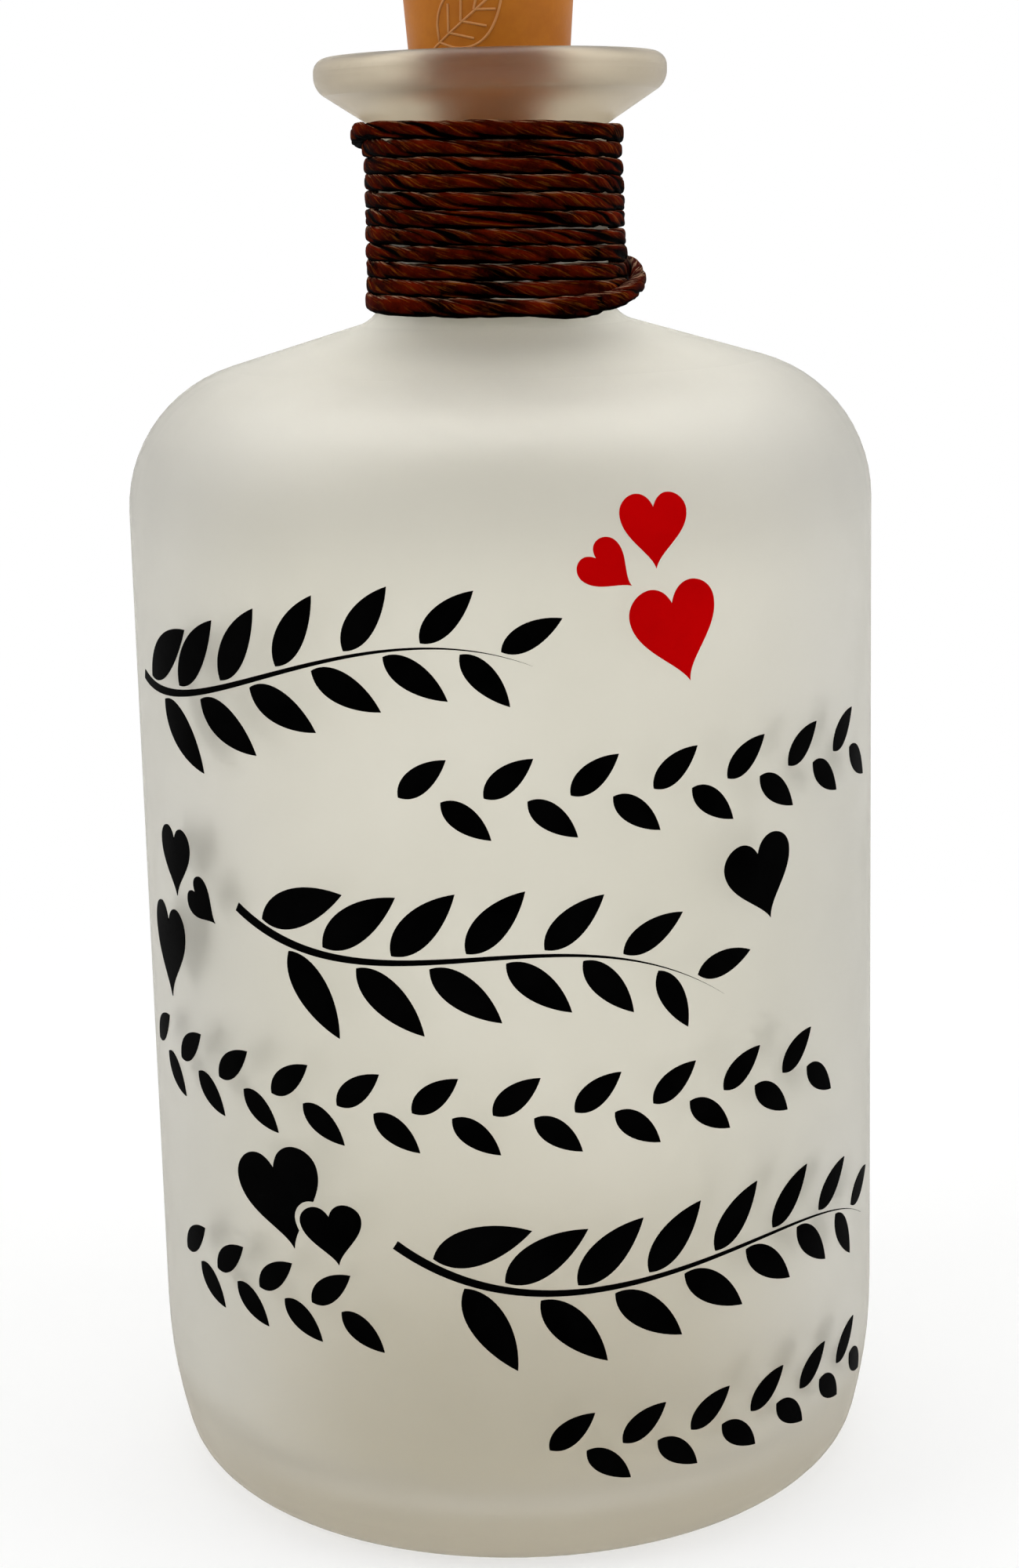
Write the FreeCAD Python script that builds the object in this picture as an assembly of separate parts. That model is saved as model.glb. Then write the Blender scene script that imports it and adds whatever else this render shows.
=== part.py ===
# Frosted glass bottle with a wound neck cord, cut vinyl ornaments and a cork-shaped
# stopper that holds a rechargeable light. Millimetres, origin at the centre of the base,
# +Z up, the decorated front faces -Y.
import FreeCAD, Part
import math
import os
from FreeCAD import Vector
from Part import Geom2d

# Glass bottle
bottle_height = 172.6
body_radius = 45.0
base_inset = 3.2
base_taper_height = 12.9
base_taper_blend = 60.0
heel_radius = 6.6
foot_width = 5.0
foot_inner_blend = 3.0
punt_height = 3.5
punt_slope_width = 11.0
punt_blend = 12.0
wall = 3.2
floor_thickness = 5.0
floor_blend = 8.0
shoulder_slope = math.radians(16.45)
shoulder_radius = 17.4
neck_radius = 13.7
neck_length = 22.15
neck_blend = 4.0
bore_blend = 8.0
mouth_rounding = 1.8
lip_radius = 21.0
lip_thickness = 3.65
lip_slope = math.radians(32.9)
lip_under_blend = 0.6
lip_edge_rounding = 2.55
lip_top_rounding = 1.7

# Cord wound on the neck
cord_diameter = 1.5
cord_gap = 0.47
cord_clearance = 0.1
cord_low_turn = 1.0
cord_start_angle = 0.0
cord_arcs_per_turn = 4

# Vinyl films. The ornaments are drawn on a grid of steps of about a millimetre: the straight
# wall is divided into so many steps up and the whole way round into so many, from the front line.
film_thickness = 0.1
film_gap = 0.03
film_front_angle = 1.5 * math.pi
film_cut_depth = 4.0
grid_steps_up = 120
grid_steps_round = 283
stem_steps = 1.1
leaf_gap_steps = 0.45
heart_gap_steps = 0.7
heart_tip_gap_share = 1.6
sprig_leaf_angle = math.radians(42.0)
sprig_leaf_shrink = 0.4
sprig_bare_share = 0.06
garland_leaf_angle = math.radians(38.0)

# Hearts: tip, tilt in degrees, height, width and sideways sway of the tip
heart_steps = {
    "red_hearts": [
        ((16.8, 116.8), 0, 8.2, 7.9, 0.02),
        ((13.9, 114.9), 48, 6.4, 5.6, 0.05),
        ((20.3, 104.1), 10, 11.1, 10.4, 0.06),
    ],
    "black_hearts_left": [
        ((-47.0, 76.8), 1, 8.3, 7.9, 0.02),
        ((-38.4, 75.0), 51, 6.1, 5.1, 0.05),
        ((-50.5, 63.8), -2, 11.3, 9.8, 0.06),
    ],
    "black_heart_right": [((31.4, 75.5), 10, 9.8, 10.1, 0.06)],
}
pair_large_steps = ((-27.2, 38.5), 17, 11.9, 12.7, 0.0)
pair_small_steps = ((-21.1, 37.6), 12, 7.1, 8.3, 0.0)

# Sprigs: four poles of the stem, leaves, leaf length and width
sprig_steps = {
    "sprig_upper": ([(-55, 102), (-37, 97), (-16, 115), (3, 107)], 13, 12.0, 5.0),
    "sprig_middle": ([(-34, 78), (-14, 67), (4, 83), (25, 68)], 13, 12.0, 5.0),
    "sprig_lower": ([(-14, 41), (8, 27), (30, 46), (54, 33)], 15, 12.0, 5.0),
}

# Garlands: start, end, height, leaves, leaf length and width
garland_steps = {
    "garland_upper": (-12, 54, 92.4, 14, 6.9, 3.2),
    "garland_middle": (-57, 43, 56.5, 22, 6.8, 3.2),
    "garland_lower": (-49, -17, 32.2, 8, 6.7, 3.2),
    "garland_base": (3, 54, 16.5, 12, 6.7, 3.2),
}

# Cork-shaped stopper with its two-part casing
stopper_taper = 0.075
stopper_seat_depth = 2.0
stopper_seat_clearance = 0.16
parting_height = 9.0
parting_bevel = 0.25
cap_top_rounding = 1.6
cap_top_wall = 1.7
cap_inner_rounding = 1.7
cap_room = 0.76
skirt_gap = 0.6
skirt_wall = 1.2
slip_clearance = 0.1
rim_wall = 1.35
housing_room = 0.65
rib_width = 1.2
rib_count = 4

# Lens, lamp board and light-emitting chips at the lower end
lens_height = 12.0
lens_rounding = 4.0
lens_wall = 1.5
lens_spigot_length = 1.6
lens_spigot_wall = 0.9
lens_ledge = 0.55
lamp_board_thickness = 1.0
lamp_chip_size = 2.0
lamp_chip_height = 0.8
lamp_chip_pitch_radius = 2.2
lamp_chip_count = 3

# Deck, plug, button and charge light under the cap
deck_thickness = 1.5
deck_depth = 2.8
plug_width = 12.0
plug_depth = 4.5
plug_wall = 0.35
plug_reach = 12.3
plug_head_room = 2.8
plug_tail = 3.7
plug_corner = 0.7
plug_window = 2.2
plug_window_spacing = 5.0
plug_window_from_tip = 5.2
tongue_thickness = 1.8
tongue_inset = 1.0
plug_foot_height = 0.8
contact_width = 1.0
contact_thickness = 0.15
contact_length = 7.4
contact_inner_offset = 1.0
contact_outer_offset = 3.5
button_gap = 0.6
button_radius = 1.4
button_proud = 1.0
button_clearance = 0.15
button_travel = 0.5
button_flange_radius = 2.0
button_flange_thickness = 0.7
button_flange_gap = 0.3
button_stem_radius = 0.8
switch_width = 6.0
switch_back = 1.05
switch_height = 3.5
switch_gap = 0.4
switch_bore_depth = 1.8
light_pipe_offset = 4.4
light_pipe_radius = 1.0
light_pipe_foot = 1.4
charge_light_width = 1.6
charge_light_depth = 0.7

# Main board and cell
board_width = 11.0
board_thickness = 1.0
board_height = 8.8
rail_width = 1.0
rail_grip = 0.8
rail_clearance = 0.15
chip_width = 5.0
chip_length = 4.0
chip_depth = 1.5
cell_radius = 5.0
cell_length = 12.0
cell_clearance = 0.15
cell_room = 0.84
cell_foot_gap = 1.0
cell_tip_radius = 1.8
cell_tip_height = 0.6
cell_rounding = 0.6
pad_thickness = 1.2
tab_width = 3.0
tab_thickness = 0.15
tab_on_board = 2.6
lead_radius = 0.3
lead_on_board = 2.2

axis_z = Vector(0, 0, 1)
origin = Vector(0, 0, 0)

# Heights of the stopper's pieces, from the parting line down and up
parting = bottle_height + parting_height
deck_top = parting - deck_depth
deck_bottom = deck_top - deck_thickness
plug_top = deck_top + plug_reach
plug_bottom = deck_top - plug_tail
stopper_top = plug_top + plug_head_room + cap_top_wall
board_top = plug_bottom - plug_foot_height
board_bottom = board_top - board_height
cell_top = board_bottom - pad_thickness - cell_tip_height
cell_bottom = cell_top - cell_length
lamp_seat = cell_bottom - cell_foot_gap - lamp_board_thickness
lens_top = lamp_seat - slip_clearance - lens_spigot_length
lens_tip = lens_top - lens_height
switch_top = plug_bottom - switch_gap

# Radii of the stopper, which is as wide as the plug and the button need
button_offset = plug_depth / 2 + button_gap + button_flange_radius
works_radius = max(math.hypot(plug_width, plug_depth) / 2, button_offset + button_flange_radius)
cap_inner_radius = works_radius + cap_room
deck_radius = cap_inner_radius + skirt_wall
socket_radius = deck_radius + slip_clearance
housing_high_radius = works_radius + housing_room
cavity_low_radius = cell_radius + cell_room


def stopper_radius(z):
    return socket_radius + rim_wall + stopper_taper * (z - parting)


# Radii and heights of the glass; its bore is as wide as the stopper's seat
base_radius = body_radius - base_inset
foot_inner_radius = base_radius - heel_radius - foot_width
bore_radius = stopper_radius(bottle_height - stopper_seat_depth) + stopper_seat_clearance
lip_under = bottle_height - lip_thickness
lip_root = lip_under - (lip_radius - neck_radius) * math.tan(lip_slope)
neck_foot = lip_root - neck_length
base_taper = math.atan(base_inset / base_taper_height)


def shoulder_line(radius, offset=0.0):
    fall = (radius - neck_radius) * math.tan(shoulder_slope)
    return neck_foot - fall + offset / math.cos(shoulder_slope)


def taper_line(height, offset=0.0):
    drop = base_taper_height - height
    return body_radius - drop * math.tan(base_taper) + offset / math.cos(base_taper)


def bend(start, corner, end):
    # Arc that leaves start and reaches end along the two equal lines to the corner.
    middle = (start + end) * 0.5
    half = (end - start).Length / 2
    rise = (corner - middle).Length
    side = math.hypot(half, rise)
    sagitta = half * (side - half) / rise
    top = middle + (corner - middle) * (sagitta / rise)
    return Part.Arc(start, top, end).toShape()


def rounded_loop(corners):
    # Closed outline in the XZ plane from (radius, height, rounding) corners.
    points = [Vector(radius, 0, height) for radius, height, rounding in corners]
    spans = []
    for i, point in enumerate(points):
        rounding = corners[i][2]
        before = (points[i - 1] - point).normalize()
        after = (points[(i + 1) % len(points)] - point).normalize()
        reach = rounding / math.tan(before.getAngle(after) / 2) if rounding else 0.0
        spans.append((point + before * reach, point, point + after * reach))
    edges = []
    for i, (start, corner, end) in enumerate(spans):
        if corners[i][2]:
            edges.append(bend(start, corner, end))
        following = spans[(i + 1) % len(spans)][0]
        if (following - end).Length > 1e-6:
            edges.append(Part.LineSegment(end, following).toShape())
    return Part.Wire(edges)


def turned(corners):
    return Part.Face(rounded_loop(corners)).revolve(origin, axis_z, 360)


def block(width, depth, low, high, x=0.0, y=0.0):
    # Upright box centred on x and y.
    corner = Vector(x - width / 2, y - depth / 2, low)
    return Part.makeBox(width, depth, high - low, corner)


def rod(radius, low, high, x=0.0, y=0.0):
    return Part.makeCylinder(radius, high - low, Vector(x, y, low))


def rounded_block(width, depth, low, high, rounding):
    solid = block(width, depth, low, high)
    upright = [edge for edge in solid.Edges if abs(edge.tangentAt(edge.FirstParameter).z) > 0.9]
    return solid.makeFillet(rounding, upright)


# Bottle

def make_bottle():
    inner_radius = body_radius - wall
    return turned([
        (0, punt_height, 0),
        (foot_inner_radius - punt_slope_width, punt_height, punt_blend),
        (foot_inner_radius, 0, foot_inner_blend),
        (base_radius, 0, heel_radius),
        (body_radius, base_taper_height, base_taper_blend),
        (body_radius, shoulder_line(body_radius), shoulder_radius),
        (neck_radius, neck_foot, neck_blend),
        (neck_radius, lip_root, lip_under_blend),
        (lip_radius, lip_under, lip_edge_rounding),
        (lip_radius, bottle_height, lip_top_rounding),
        (bore_radius, bottle_height, mouth_rounding),
        (bore_radius, shoulder_line(bore_radius, -wall), bore_blend),
        (inner_radius, shoulder_line(inner_radius, -wall), shoulder_radius - wall),
        (inner_radius, floor_thickness, floor_blend),
        (0, punt_height + floor_thickness, 0),
    ])


# Cord, one unbroken tube that follows the neck and the flare below it

cord_radius = cord_diameter / 2
neck_blend_height = neck_foot + neck_blend * math.tan((math.pi / 2 - shoulder_slope) / 2)
cord_lane = neck_radius + cord_clearance + cord_radius
cord_low = neck_foot + cord_low_turn
cord_high = (lip_under - (lip_radius - cord_lane) * math.tan(lip_slope)
             - (cord_radius + cord_clearance) / math.cos(lip_slope))
cord_turns = (cord_high - cord_low) / (cord_diameter + cord_gap)


def cord_lane_at(height):
    drop = neck_blend_height - height
    if drop <= 0:
        return cord_lane
    reach = neck_blend - cord_radius - cord_clearance
    return neck_radius + neck_blend - math.sqrt(reach ** 2 - drop ** 2)


def cord_point(turn):
    height = cord_low + (cord_high - cord_low) * turn / cord_turns
    lane = cord_lane_at(height)
    angle = cord_start_angle - 2 * math.pi * turn
    return Vector(lane * math.cos(angle), lane * math.sin(angle), height)


def cord_heading(turn):
    small = 1e-4
    return (cord_point(turn + small) - cord_point(turn - small)).normalize()


def biarc(start, heading, end, end_heading):
    chord = end - start
    k = 2 * (1 - heading.dot(end_heading))
    b = chord.dot(heading + end_heading)
    reach = (math.sqrt(b * b + k * chord.dot(chord)) - b) / k
    first = start + heading * reach
    second = end - end_heading * reach
    joint = (first + second) * 0.5
    return [bend(start, first, joint), bend(joint, second, end)]


def make_cord():
    steps = round(cord_turns * cord_arcs_per_turn)
    turns = [cord_turns * i / steps for i in range(steps + 1)]
    edges = []
    for before, after in zip(turns, turns[1:]):
        edges += biarc(cord_point(before), cord_heading(before),
                       cord_point(after), cord_heading(after))
    head, tail = cord_point(0), cord_point(cord_turns)
    loose_head = head - cord_heading(0) * cord_diameter
    loose_tail = tail + cord_heading(cord_turns) * cord_diameter
    edges.insert(0, Part.LineSegment(loose_head, head).toShape())
    edges.append(Part.LineSegment(tail, loose_tail).toShape())
    route = Part.Wire(edges)
    section = Part.Wire([Part.Circle(loose_head, cord_heading(0), cord_radius).toShape()])
    pipe = Part.BRepOffsetAPI.MakePipeShell(route)
    pipe.add(section)
    pipe.build()
    pipe.makeSolid()
    tube = pipe.shape()
    report_cord(route, tube)
    return tube


def report_cord(route, tube):
    points = [edge.valueAt(edge.FirstParameter + (edge.LastParameter - edge.FirstParameter) * share)
              for edge in route.Edges for share in (0.0, 0.25, 0.5, 0.75)]
    half_turn = len(points) // round(2 * cord_turns)
    nearest = min((points[i] - points[j]).Length
                  for i in range(len(points)) for j in range(i + half_turn, len(points)))
    share = tube.Volume / (math.pi * cord_radius ** 2 * route.Length)
    print("cord length %.1f, least gap to itself %.2f, volume over section times length %.4f"
          % (route.Length, nearest - cord_diameter, share))


# Vinyl films: outlines of Bezier curves on the grid, wrapped on the glass

film_inner = body_radius + film_gap
film_outer = film_inner + film_thickness
shoulder_start = (shoulder_line(body_radius)
                  - shoulder_radius * math.tan((math.pi / 2 - shoulder_slope) / 2))
straight_low = ((base_taper_height + base_taper_blend * math.tan(base_taper / 2))
                * grid_steps_up / shoulder_start)


def grid_point(across, up):
    angle = film_front_angle + 2 * math.pi * across / grid_steps_round
    return FreeCAD.Base.Vector2d(angle, up * shoulder_start / grid_steps_up)


def wrapped_edges(outline, radius):
    surface = Part.Cylinder()
    surface.Radius = radius
    edges = []
    for poles in outline:
        curve = Geom2d.BezierCurve2d()
        curve.setPoles([grid_point(across, up) for across, up in poles])
        edges.append(curve.toShape(surface))
    face = Part.Face(surface, Part.Wire(edges))
    face.validate()
    return edges, face


def wrapped(outline, inner, outer):
    inner_edges, inner_face = wrapped_edges(outline, inner)
    outer_edges, outer_face = wrapped_edges(outline, outer)
    sides = [Part.makeRuledSurface(a, b) for a, b in zip(inner_edges, outer_edges)]
    return Part.makeSolid(Part.makeShell([inner_face, outer_face] + sides))


def skin_side(offset):
    # Line of the glass from the drawn-in base over the wall and on to the shoulder, set off outwards.
    low, end = heel_radius, body_radius - shoulder_radius
    corner = base_taper_height - offset * math.tan(base_taper / 2)
    return [
        (taper_line(low, offset), low, 0),
        (body_radius + offset, corner, base_taper_blend + offset),
        (body_radius + offset, shoulder_line(body_radius + offset, offset), shoulder_radius + offset),
        (end, shoulder_line(end, offset), 0),
    ]


def film(outline):
    heights = [up for poles in outline for across, up in poles]
    if min(heights) >= straight_low and max(heights) <= grid_steps_up:
        return wrapped(outline, film_inner, film_outer)
    thick = wrapped(outline, film_inner - film_cut_depth, film_outer + film_thickness)
    skin = turned(skin_side(film_gap + film_thickness) + skin_side(film_gap)[::-1])
    return thick.common(skin).Solids[0]


def heart(tip, tilt, height, width, sway=0.0):
    # Two lobes on a swayed point; the tilt turns the heart about its tip.
    lean = math.radians(tilt)

    def place(across, up):
        x, z = across * width, up * height
        return (tip[0] + x * math.cos(lean) - z * math.sin(lean),
                tip[1] + x * math.sin(lean) + z * math.cos(lean))

    notch = place(0.0, 0.80)
    point = place(sway, 0.0)
    left, right = place(-0.5, 0.74), place(0.5, 0.74)
    return [
        [point, place(-0.06, 0.22), place(-0.5, 0.42), left],
        [left, place(-0.5, 0.98), place(-0.12, 1.12), notch],
        [notch, place(0.12, 1.12), place(0.5, 0.98), right],
        [right, place(0.5, 0.42), place(0.08, 0.24), point],
    ]


def leaf(base, angle, length, width):
    along = (math.cos(angle), math.sin(angle))
    across = (-along[1], along[0])

    def place(u, v):
        return (base[0] + along[0] * u * length + across[0] * v * width,
                base[1] + along[1] * u * length + across[1] * v * width)

    tip = place(1.0, 0.0)
    return [
        [base, place(0.15, 0.62), place(0.62, 0.66), tip],
        [tip, place(0.72, -0.40), place(0.22, -0.72), base],
    ]


def spine_at(spine, t):
    a, b, c, d = spine
    weights = ((1 - t) ** 3, 3 * t * (1 - t) ** 2, 3 * t * t * (1 - t), t ** 3)
    slopes = (-3 * (1 - t) ** 2, 3 * (1 - t) * (1 - 3 * t), 3 * t * (2 - 3 * t), 3 * t * t)
    point = [sum(w * p[k] for w, p in zip(weights, (a, b, c, d))) for k in (0, 1)]
    rate = [sum(w * p[k] for w, p in zip(slopes, (a, b, c, d))) for k in (0, 1)]
    return point, math.atan2(rate[1], rate[0])


def stem(spine):
    def edge(side):
        poles = []
        for i, (s, z) in enumerate(spine[:-1]):
            angle = spine_at(spine, i / 3)[1]
            half = side * stem_steps / 2 * (1 - i / 3)
            poles.append((s - math.sin(angle) * half, z + math.cos(angle) * half))
        return poles + [spine[-1]]
    upper, lower = edge(1), edge(-1)
    return [upper, lower[::-1], [lower[0], upper[0]]]


def sprig(spine, leaf_count, leaf_length, leaf_width):
    films = [film(stem(spine))]
    for i in range(leaf_count):
        t = sprig_bare_share + (1 - 2 * sprig_bare_share) * i / (leaf_count - 1)
        side = 1 if i % 2 == 0 else -1
        (s, z), heading = spine_at(spine, t)
        size = 1 - sprig_leaf_shrink * t
        clear = side * (stem_steps / 2 * (1 - t) + leaf_gap_steps)
        base = (s - math.sin(heading) * clear, z + math.cos(heading) * clear)
        angle = heading + side * sprig_leaf_angle
        films.append(film(leaf(base, angle, leaf_length * size, leaf_width * size)))
    return films


def garland(start, end, height, leaf_count, leaf_length, leaf_width):
    films = []
    for i in range(leaf_count):
        side = 1 if i % 2 == 0 else -1
        base = (start + (end - start) * i / leaf_count, height + side * leaf_gap_steps / 2)
        films.append(film(leaf(base, side * garland_leaf_angle, leaf_length, leaf_width)))
    return films


def heart_pair(large, small):
    # The large heart stands back from the small one by an even gap.
    tip, tilt, height, width, sway = small
    lean = math.radians(tilt)
    lower = heart_gap_steps * heart_tip_gap_share
    grown = ((tip[0] + lower * math.sin(lean), tip[1] - lower * math.cos(lean)), tilt,
             height + lower + heart_gap_steps, width + 2 * heart_gap_steps, sway)
    cutter = wrapped(heart(*grown), film_inner - film_gap, film_outer + film_gap)
    return film(heart(*large)).cut(cutter).Solids + [film(heart(*small))]


def make_films():
    films = {node: [film(heart(*values)) for values in group] for node, group in heart_steps.items()}
    films["black_heart_pair"] = heart_pair(pair_large_steps, pair_small_steps)
    films.update({node: sprig(*values) for node, values in sprig_steps.items()})
    films.update({node: garland(*values) for node, values in garland_steps.items()})
    return films


# Stopper casing

def make_housing():
    opening = cavity_low_radius - lens_ledge
    shell = turned([
        (stopper_radius(lens_top), lens_top, 0),
        (stopper_radius(parting - parting_bevel), parting - parting_bevel, 0),
        (stopper_radius(parting) - parting_bevel, parting, 0),
        (socket_radius, parting, 0),
        (socket_radius, deck_bottom, 0),
        (housing_high_radius, deck_bottom, 0),
        (cavity_low_radius, lamp_seat, 0),
        (opening, lamp_seat, 0),
        (opening, lens_top, 0),
    ])
    core = turned([
        (0, lamp_seat, 0),
        (cavity_low_radius + slip_clearance, lamp_seat, 0),
        (housing_high_radius + slip_clearance, deck_bottom, 0),
        (0, deck_bottom, 0),
    ])
    grips = []
    rib_length = housing_high_radius - cell_radius
    rib_middle = cell_radius + cell_clearance + rib_length / 2
    for i in range(rib_count):
        rib = block(rib_length, rib_width, cell_bottom, cell_top, rib_middle)
        grips.append(rib.rotate(origin, axis_z, 360 * (i + 0.5) / rib_count))
    rail_start = board_width / 2 - rail_grip
    rail_length = housing_high_radius - rail_start
    rail_side = board_thickness / 2 + rail_clearance + rail_width / 2
    rail_low = board_bottom + lead_on_board + rail_width
    for x in (-1, 1):
        for y in (-1, 1):
            grips.append(block(rail_length, rail_width, rail_low, board_top,
                               x * (rail_start + rail_length / 2), y * rail_side))
    for grip in grips:
        shell = shell.fuse(grip.common(core))
    return shell.removeSplitter()


def make_cap():
    inner_top = stopper_top - cap_top_wall
    low = deck_top + skirt_gap
    return turned([
        (0, inner_top, 0),
        (cap_inner_radius, inner_top, cap_inner_rounding),
        (cap_inner_radius, low, 0),
        (deck_radius, low, 0),
        (deck_radius, parting, 0),
        (stopper_radius(parting) - parting_bevel, parting, 0),
        (stopper_radius(parting + parting_bevel), parting + parting_bevel, 0),
        (stopper_radius(stopper_top), stopper_top, cap_top_rounding),
        (0, stopper_top, 0),
    ])


# Lower end: lens, lamp board and chips

def make_lens():
    rim = stopper_radius(lens_top)
    spigot = cavity_low_radius - lens_ledge - slip_clearance
    inside = spigot - lens_spigot_wall
    return turned([
        (0, lens_tip, 0),
        (rim, lens_tip, lens_rounding),
        (rim, lens_top, 0),
        (spigot, lens_top, 0),
        (spigot, lens_top + lens_spigot_length, 0),
        (inside, lens_top + lens_spigot_length, 0),
        (inside, lens_tip + lens_wall, lens_rounding - lens_wall),
        (0, lens_tip + lens_wall, 0),
    ])


def make_lamp_chips():
    low = lamp_seat - lamp_chip_height
    chip = block(lamp_chip_size, lamp_chip_size, low, lamp_seat, lamp_chip_pitch_radius)
    turns = [360 * i / lamp_chip_count for i in range(lamp_chip_count)]
    return [chip.copy().rotate(origin, axis_z, turn) for turn in turns]


# Deck, plug, button and charge light

def make_deck():
    deck = rod(deck_radius, deck_bottom, deck_top)
    slot = rounded_block(plug_width + 2 * slip_clearance, plug_depth + 2 * slip_clearance,
                         deck_bottom, deck_top, plug_corner)
    button_hole = rod(button_radius + button_clearance, deck_bottom, deck_top, 0, button_offset)
    light_hole = rod(light_pipe_radius + slip_clearance, deck_bottom, deck_top, 0, -light_pipe_offset)
    return deck.cut(slot).cut(button_hole).cut(light_hole)


def make_plug_shell():
    shell = rounded_block(plug_width, plug_depth, plug_bottom, plug_top, plug_corner)
    hollow = rounded_block(plug_width - 2 * plug_wall, plug_depth - 2 * plug_wall, plug_bottom, plug_top,
                           plug_corner - plug_wall)
    shell = shell.cut(hollow)
    window_top = plug_top - plug_window_from_tip
    for x in (-1, 1):
        shell = shell.cut(block(plug_window, plug_depth, window_top - plug_window, window_top,
                                x * plug_window_spacing / 2, 0))
    return shell


plug_inner_width = plug_width - 2 * (plug_wall + slip_clearance / 2)
plug_inner_depth = plug_depth - 2 * (plug_wall + slip_clearance / 2)
tongue_face = tongue_thickness - plug_inner_depth / 2
tongue_top = plug_top - tongue_inset


def make_plug_insulator():
    base = rounded_block(plug_inner_width, plug_inner_depth, plug_bottom, tongue_top,
                         plug_corner - plug_wall)
    socket = block(plug_inner_width, plug_inner_depth, deck_top, tongue_top, 0,
                   tongue_face + plug_inner_depth / 2)
    foot = block(plug_inner_width, board_thickness - 2 * slip_clearance, board_top, plug_bottom)
    return base.cut(socket).fuse(foot).removeSplitter()


def make_plug_contacts():
    middle = tongue_face + contact_thickness / 2
    high = tongue_top - tongue_inset
    offsets = [side * offset for side in (-1, 1) for offset in (contact_inner_offset, contact_outer_offset)]
    return [block(contact_width, contact_thickness, high - contact_length, high, offset, middle)
            for offset in offsets]


def make_button():
    flange_top = deck_bottom - button_flange_gap
    flange_bottom = flange_top - button_flange_thickness
    stem_end = switch_top - switch_bore_depth + button_travel + button_clearance
    return turned([
        (0, stem_end, 0),
        (button_stem_radius, stem_end, 0),
        (button_stem_radius, flange_bottom, 0),
        (button_flange_radius, flange_bottom, 0),
        (button_flange_radius, flange_top, 0),
        (button_radius, flange_top, 0),
        (button_radius, deck_top + button_proud, button_clearance),
        (0, deck_top + button_proud, 0),
    ]).translate(Vector(0, button_offset, 0))


def make_switch():
    front, back = board_thickness / 2, button_offset + switch_back
    low = switch_top - switch_height
    body = block(switch_width, back - front, low, switch_top, 0, (front + back) / 2)
    bore = rod(button_stem_radius + button_clearance, switch_top - switch_bore_depth, switch_top,
               0, button_offset)
    return body.cut(bore)


def make_light_pipe():
    face = board_thickness / 2 + charge_light_depth + rail_clearance
    reach = light_pipe_offset + light_pipe_radius
    foot = block(2 * light_pipe_radius, reach - face, board_top - light_pipe_foot, board_top, 0,
                 -(face + reach) / 2)
    pipe = rod(light_pipe_radius, board_top, deck_top, 0, -light_pipe_offset)
    return foot.fuse(pipe).removeSplitter()


# Main board, cell and their connections

def make_cell():
    return turned([
        (0, cell_bottom, 0),
        (cell_radius, cell_bottom, cell_rounding),
        (cell_radius, cell_top, cell_rounding),
        (cell_tip_radius, cell_top, 0),
        (cell_tip_radius, cell_top + cell_tip_height, 0),
        (0, cell_top + cell_tip_height, 0),
    ])


def make_pad():
    ring = rod(cell_radius - cell_rounding, cell_top + cell_tip_height, board_bottom)
    return ring.common(block(2 * cell_radius, cell_radius, cell_top, board_bottom, 0,
                             cell_radius / 2 + tab_thickness))


def strip(points):
    # Flat metal strip through (y, z) corners, each leg a thin box that laps the next.
    half = tab_thickness / 2
    legs = []
    for (y0, z0), (y1, z1) in zip(points, points[1:]):
        low, high = min(z0, z1) - half, max(z0, z1) + half
        legs.append(block(tab_width, abs(y1 - y0) + tab_thickness, low, high, 0, (y0 + y1) / 2))
    solid = legs[0]
    for leg in legs[1:]:
        solid = solid.fuse(leg)
    return solid.removeSplitter()


def make_tabs():
    half = tab_thickness / 2
    face = board_thickness / 2 + half
    tip = cell_top + cell_tip_height + half
    foot = cell_bottom - half
    side = cell_radius + cell_clearance + half
    crossing = board_bottom + tab_thickness
    end = board_bottom + tab_on_board
    upper = strip([(-cell_tip_radius, tip), (-face, tip), (-face, end)])
    lower = strip([(0, foot), (side, foot), (side, crossing), (face, crossing), (face, end)])
    return [upper, lower]


def make_leads():
    across = cell_radius + cell_clearance + lead_radius
    beside = board_thickness / 2 + lead_radius + slip_clearance / 2
    x = math.sqrt(across ** 2 - beside ** 2)
    low = lamp_seat + lamp_board_thickness
    return [rod(lead_radius, low, board_bottom + lead_on_board, side * x, beside) for side in (-1, 1)]


def make_pieces():
    lamp_board = rod(cavity_low_radius - slip_clearance, lamp_seat, lamp_seat + lamp_board_thickness)
    board = block(board_width, board_thickness, board_bottom, board_top)
    chip_low = board_bottom + tab_on_board + 2 * tab_thickness
    chip = block(chip_width, chip_depth, chip_low, chip_low + chip_length, 0,
                 -(board_thickness + chip_depth) / 2)
    charge_light = block(charge_light_width, charge_light_depth, board_top - light_pipe_foot, board_top,
                         0, -(board_thickness + charge_light_depth) / 2)
    pieces = {
        "bottle_glass": [make_bottle()],
        "neck_cord": [make_cord()],
        "cork_cap": [make_cap()],
        "stopper_housing": [make_housing()],
        "deck_plate": [make_deck()],
        "plug_shell": [make_plug_shell()],
        "plug_insulator": [make_plug_insulator()],
        "plug_contacts": make_plug_contacts(),
        "push_button": [make_button()],
        "switch_body": [make_switch()],
        "light_pipe": [make_light_pipe()],
        "charge_light": [charge_light],
        "main_board": [board],
        "charge_chip": [chip],
        "battery_cell": [make_cell()],
        "battery_pad": [make_pad()],
        "battery_tabs": make_tabs(),
        "lamp_leads": make_leads(),
        "lamp_board": [lamp_board],
        "lamp_chips": make_lamp_chips(),
        "lens": [make_lens()],
    }
    pieces.update(make_films())
    return pieces


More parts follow.
